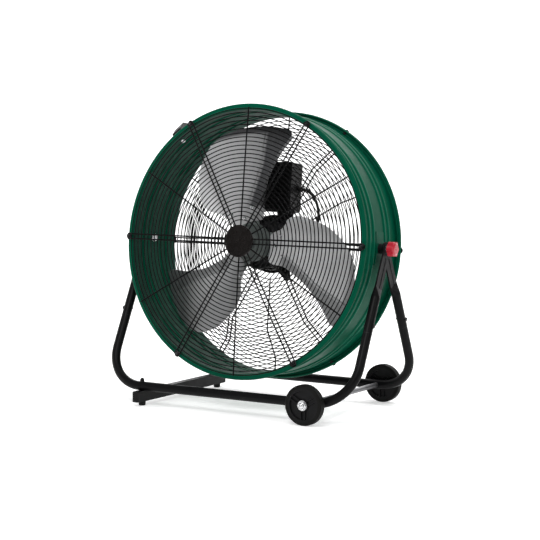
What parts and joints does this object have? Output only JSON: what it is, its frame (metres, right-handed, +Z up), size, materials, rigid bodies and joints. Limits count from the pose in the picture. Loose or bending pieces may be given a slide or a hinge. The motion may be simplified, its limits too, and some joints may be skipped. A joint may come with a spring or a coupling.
{
  "type": "tilting drum fan",
  "caption": "Large axial drum fan: green ribbed steel drum with wire guards and paddle blades, tilting between the legs of a black tube stand with wheels and a foot bar.",
  "frame": {"origin": "on the floor, under the middle of the drum", "axes": "+X along the tilt pivots towards the wheels, +Y towards the back of the fan, +Z up; the fan blows towards -Y"},
  "size_m": [0.724, 0.448, 0.7322],
  "materials": {
    "stand_black": "black powder coat, semi-gloss",
    "black_hardware": "black oxide",
    "zinc": "bright zinc plate",
    "black_plastic": "moulded, satin",
    "foot_rubber": "matt",
    "lead_rubber": "satin sheath",
    "tyre_black": "matt",
    "drum_green": "dark green gloss enamel",
    "guard_black": "black powder coat",
    "motor_black": "black enamel",
    "blade_alu": "satin sheet",
    "hub_grey": "grey-green cast, painted",
    "knob_red": "moulded red, gloss"
  },
  "bodies": {
    "stand": {"front_lower_tube": "stand_black", "rear_lower_tube": "stand_black", "front_left_upper_leg": "stand_black", "front_right_upper_leg": "stand_black", "rear_left_upper_leg": "stand_black", "rear_right_upper_leg": "stand_black", "leg_joint_screws": "black_hardware", "foot_crossbar": "stand_black", "crossbar_end_caps": "black_plastic", "rubber_feet": "foot_rubber", "foot_studs": "zinc", "wheel_axle": "zinc", "axle_spacers": "black_hardware", "axle_cap_nuts": "zinc", "pivot_washers": "zinc"},
    "drum": {"drum_shell": "drum_green", "pivot_doubler_plates": "drum_green", "pivot_bolts": "zinc", "pivot_spacers": "black_hardware", "front_guard_rings": "guard_black", "front_guard_spokes": "guard_black", "badge_disc": "black_plastic", "badge_back_plate": "black_hardware", "front_guard_clips": "black_hardware", "front_guard_screws": "black_hardware", "rear_guard_rings": "guard_black", "rear_guard_spokes": "guard_black", "rear_guard_clips": "black_hardware", "rear_guard_screws": "black_hardware", "motor_mount_plate": "guard_black", "mount_plate_screws": "zinc", "motor_front_bell": "motor_black", "motor_stator": "motor_black", "motor_rear_bell": "motor_black", "motor_bolts": "zinc", "box_bracket": "guard_black", "box_bracket_screws": "zinc", "switch_box_base": "black_plastic", "switch_box_lid": "black_plastic", "switch_box_screws": "zinc", "speed_switch": "black_plastic", "lead_gland": "black_plastic", "supply_gland": "black_plastic", "motor_lead": "lead_rubber", "carry_handle": "black_plastic", "handle_screws": "zinc"},
    "impeller": {"motor_shaft": "zinc", "impeller_hub": "hub_grey", "blade_1": "blade_alu", "blade_2": "blade_alu", "blade_3": "blade_alu", "blade_rivets": "zinc", "hub_set_screw": "black_hardware"},
    "front_wheel": {"front_wheel_hub": "black_plastic", "front_wheel_tyre": "tyre_black"},
    "rear_wheel": {"rear_wheel_hub": "black_plastic", "rear_wheel_tyre": "tyre_black"},
    "left_knob": {"left_tilt_knob": "knob_red"},
    "right_knob": {"right_tilt_knob": "knob_red"},
    "speed_dial": {"speed_knob": "black_plastic"}
  },
  "joints": [
    {"name": "drum_tilt", "type": "hinge", "parent": "stand", "child": "drum", "pos_m": [0, 0, 0.395], "axis": [-1, 0, 0], "range_deg": [-35.5, 84.5]},
    {"name": "impeller_spin", "type": "hinge", "parent": "drum", "child": "impeller", "pos_m": [0, 0, 0.395], "axis": [0, 0.9954, -0.0958], "continuous": true},
    {"name": "front_wheel_spin", "type": "hinge", "parent": "stand", "child": "front_wheel", "pos_m": [0.234, -0.2, 0.047], "axis": [0, 1, 0], "continuous": true},
    {"name": "rear_wheel_spin", "type": "hinge", "parent": "stand", "child": "rear_wheel", "pos_m": [0.234, 0.2, 0.047], "axis": [0, 1, 0], "continuous": true},
    {"name": "left_knob_turn", "type": "hinge", "parent": "drum", "child": "left_knob", "pos_m": [-0.35, 0, 0.395], "axis": [-1, 0, 0], "range_deg": [0, 360]},
    {"name": "right_knob_turn", "type": "hinge", "parent": "drum", "child": "right_knob", "pos_m": [0.35, 0, 0.395], "axis": [1, 0, 0], "range_deg": [0, 360]},
    {"name": "speed_dial_turn", "type": "hinge", "parent": "drum", "child": "speed_dial", "pos_m": [0.001, 0.12682, 0.54353], "axis": [0, -0.9954, 0.0958], "range_deg": [0, 135]}
  ]
}
